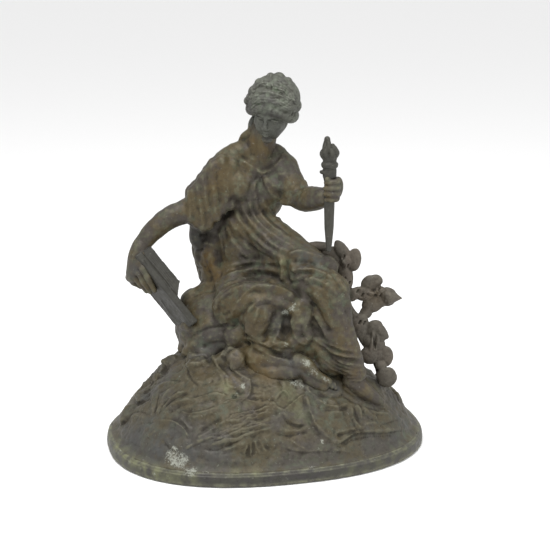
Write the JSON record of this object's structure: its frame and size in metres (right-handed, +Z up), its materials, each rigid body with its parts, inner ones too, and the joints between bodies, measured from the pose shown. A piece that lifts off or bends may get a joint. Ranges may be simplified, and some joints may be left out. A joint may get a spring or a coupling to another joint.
{
  "type": "classical statue",
  "caption": "Seated classical woman in draped dress holding a torch, with a book on a boulder and a leafy spray, on a rocky oval plinth.",
  "frame": {"origin": "middle of the plinth's flat underside, on the surface it stands on", "axes": "+Z up through the head, +X along the plinth's long side towards the torch, -Y towards the front, which the figure faces"},
  "size_m": [0.2218, 0.1748, 0.2577],
  "materials": {
    "plinth": "worn bronze-brown patina over cast spelter, satin",
    "figure": "worn bronze-brown patina over cast spelter, satin",
    "torch": "worn bronze-brown patina over cast spelter, satin",
    "book": "worn bronze-brown patina over cast spelter, satin",
    "flower_spray": "worn bronze-brown patina over cast spelter, satin"
  },
  "bodies": {
    "root": {"plinth": "plinth", "figure": "figure", "torch": "torch", "book": "book", "flower_spray": "flower_spray"}
  },
  "joints": []
}
